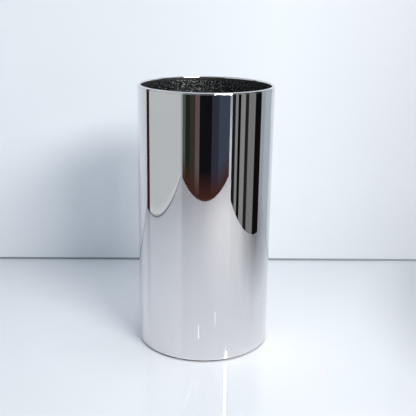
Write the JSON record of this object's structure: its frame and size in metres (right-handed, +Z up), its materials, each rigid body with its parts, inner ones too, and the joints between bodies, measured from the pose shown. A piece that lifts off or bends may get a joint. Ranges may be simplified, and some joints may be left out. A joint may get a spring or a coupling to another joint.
{
  "type": "umbrella stand",
  "caption": "Tall plain cylindrical umbrella stand with a mirror-polished steel tube, a beaded rim, a textured black inner bucket and a lift-out drip tray.",
  "frame": {"origin": "centre of the foot's underside, on the stand's axis and on the floor", "axes": "+Z up along the tube's axis, towards the open rim; +X to the right and +Y to the back, with the screws on the diagonals"},
  "size_m": [0.25, 0.25, 0.496],
  "materials": {
    "polished_steel": "mirror-polished stainless steel",
    "black_coating": "coarse hammered black coating",
    "black_rubber": "matt black rubber",
    "foam": "closed-cell grey foam",
    "cast_iron": "grey-primed sand casting",
    "plain_steel": "plain rolled steel sheet",
    "zinc_hardware": "zinc-plated steel",
    "tray_plastic": "fine-textured black moulded plastic"
  },
  "bodies": {
    "stand": {"outer_shell": "polished_steel", "rim_ring": "polished_steel", "rim_seal": "black_rubber", "inner_liner": "black_coating", "upper_spacer": "foam", "lower_spacer": "foam", "ballast_pad": "foam", "ballast_disc": "cast_iron", "ballast_screw": "zinc_hardware", "base_plate": "plain_steel", "weld_nuts": "zinc_hardware", "base_screws": "zinc_hardware", "foot_ring": "black_rubber"},
    "tray": {"drip_tray": "tray_plastic"}
  },
  "joints": [
    {"name": "tray_lift", "type": "slide", "parent": "stand", "child": "tray", "axis": [0, 0, 1], "range_m": [0, 0.5]}
  ]
}
